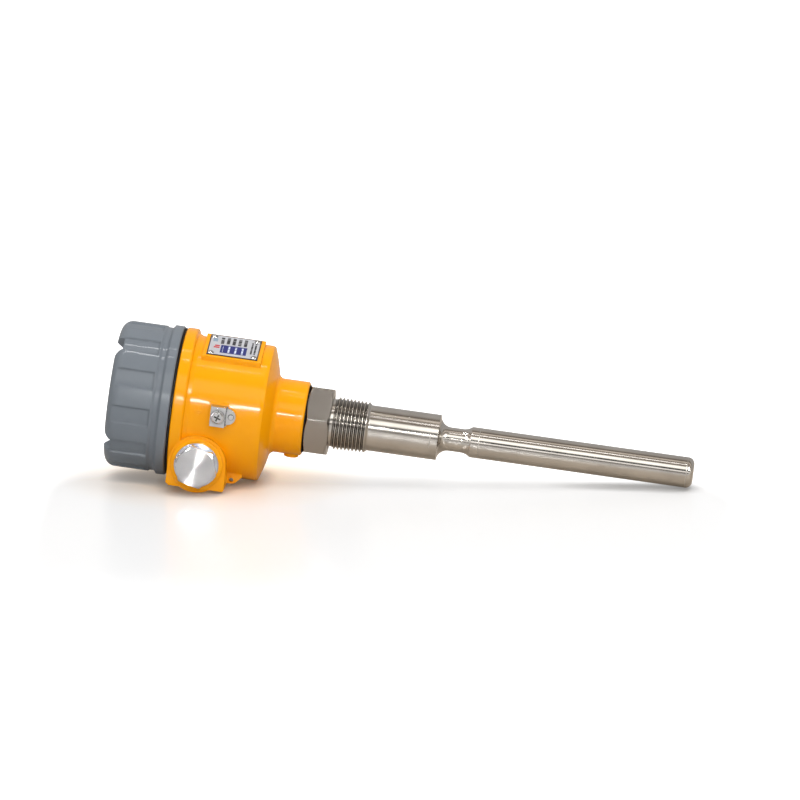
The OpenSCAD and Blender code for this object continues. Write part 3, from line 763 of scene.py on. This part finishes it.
def floor_paper():
    """Pale paper, pure white away from the object, with painted shade round it and painted warm light
    from the orange paint.
    """
    mat, graph, shader, coords = new_material("floor_paper", FLOOR_GREY, 0.28)
    path = graph.add("ShaderNodeLightPath")
    x, y = graph.split(coords)[:2]
    # Painted light and shade in what the floor shows to mirrors: lighter in front, darker and
    # orange-warm under the object.
    mirrored_light_and_shade = graph.mix(graph.remap(y, -0.10, -0.03, 0.0, 1.0), MIRRORED_PAINTED_LIGHT, MIRRORED_PAINTED_SHADE)
    seen = graph.mix(path.outputs["Is Glossy Ray"], FLOOR_GREY, mirrored_light_and_shade)
    graph.link(seen, shader.inputs["Base Color"])
    # Painted bounce light: the glow turns orange near the housing.
    near = graph.vector("LENGTH", graph.vector("SUBTRACT", coords, UNDER_HEAD))
    painted_bounce = graph.remap(near, *WARM_REACH, 0.0, 1.0)
    graph.link(graph.mix(painted_bounce, PAINTED_BOUNCE_LIGHT, WHITE), shader.inputs["Emission Color"])
    # Painted shade: the glow that whitens the floor is weaker in the strip round the object.
    glow = graph.remap(distance_from_shadow(graph, x, y), *SHADOW_FADE, SHADED_GLOW, 1.0)
    # Painted contact shadow: the glow drops further where the floor is shut in by the object.
    open_share = graph.math("SUBTRACT", 1.0, graph.corners(12 * MM, 0.75))
    glow = graph.math("MULTIPLY", glow, open_share)
    camera_glow = graph.math("MULTIPLY", glow, path.outputs["Is Camera Ray"])
    graph.link(camera_glow, shader.inputs["Emission Strength"])
    return mat


def make_floor():
    bm = bmesh.new()
    bmesh.ops.create_grid(bm, x_segments=1, y_segments=1, size=FLOOR_REACH)
    rise = TIP_REST - HEAD_REST
    tilt = math.atan2(rise.z, rise.x)
    bmesh.ops.rotate(bm, verts=bm.verts, matrix=Matrix.Rotation(-tilt, 3, "Y"))
    bmesh.ops.translate(bm, verts=bm.verts, vec=HEAD_REST)
    floor = mesh_object("floor", bm, floor_paper())


make_floor()


# What shiny parts mirror, by the angle in degrees over the front and up to the back

STUDIO_BANDS = [
    # Floor, and a dark edge over it
    (0, (0.75, 0.72, 0.68)), (3, (0.60, 0.57, 0.54)), (6, (0.24, 0.22, 0.22)),
    # A narrow white sheet
    (8, (0.28, 0.27, 0.27)), (11, (0.85, 0.83, 0.82)), (14, (2.00, 1.96, 1.92)),
    (17, (1.90, 1.86, 1.82)), (19, (1.30, 1.28, 1.26)),
    # Dark cloth
    (22, (0.16, 0.16, 0.16)), (27, (0.05, 0.05, 0.05)), (30, (0.28, 0.28, 0.27)),
    # The wide white sheet
    (33, (0.95, 0.94, 0.90)), (36, (2.50, 2.46, 2.36)), (51, (2.50, 2.46, 2.36)),
    (55, (0.95, 0.90, 0.84)),
    # Dim ceiling with one pale strip
    (60, (0.22, 0.19, 0.16)), (63, (0.34, 0.29, 0.25)), (67, (0.60, 0.53, 0.47)),
    (76, (0.56, 0.51, 0.47)), (80, (0.48, 0.42, 0.37)), (84, (0.36, 0.31, 0.26)),
    (88, (1.08, 0.98, 0.88)), (93, (1.20, 1.09, 0.97)), (97, (0.84, 0.76, 0.68)),
    # Back of the room
    (101, (0.25, 0.21, 0.18)), (107, (0.25, 0.21, 0.18)), (110, (0.42, 0.38, 0.34)),
    (117, (0.55, 0.52, 0.49)), (125, (0.65, 0.62, 0.60)), (180, (0.50, 0.49, 0.48)),
]
AMBIENT_GREY = (0.62, 0.62, 0.62)


def make_world():
    """White to the camera, grey light on the object, and the studio's bands in what is shiny."""
    world = bpy.data.worlds.new("studio")
    scene.world = world
    world.use_nodes = True
    graph = Graph(world.node_tree)
    back = world.node_tree.nodes["Background"]
    path = graph.add("ShaderNodeLightPath")
    y, z = graph.split(graph.add("ShaderNodeTexCoord").outputs["Generated"])[1:]
    height = graph.math("ARCTAN2", z, graph.math("MULTIPLY", y, -1.0))
    ramp = graph.add("ShaderNodeValToRGB")
    stops = ramp.color_ramp.elements
    for index, (degrees, color) in enumerate(STUDIO_BANDS):
        stop = stops[index] if index < 2 else stops.new(degrees / 180)
        stop.position = degrees / 180
        stop.color = (*color, 1.0)
    graph.link(graph.math("DIVIDE", height, math.pi), ramp.inputs["Fac"])
    lit = graph.mix(path.outputs["Is Glossy Ray"], AMBIENT_GREY, ramp.outputs["Color"])
    seen = graph.math("MAXIMUM", path.outputs["Is Camera Ray"],
                      path.outputs["Is Transmission Ray"])
    graph.link(graph.mix(seen, lit, WHITE), back.inputs["Color"])
    back.inputs["Strength"].default_value = 1.0


make_world()
scene.view_settings.view_transform = "Standard"
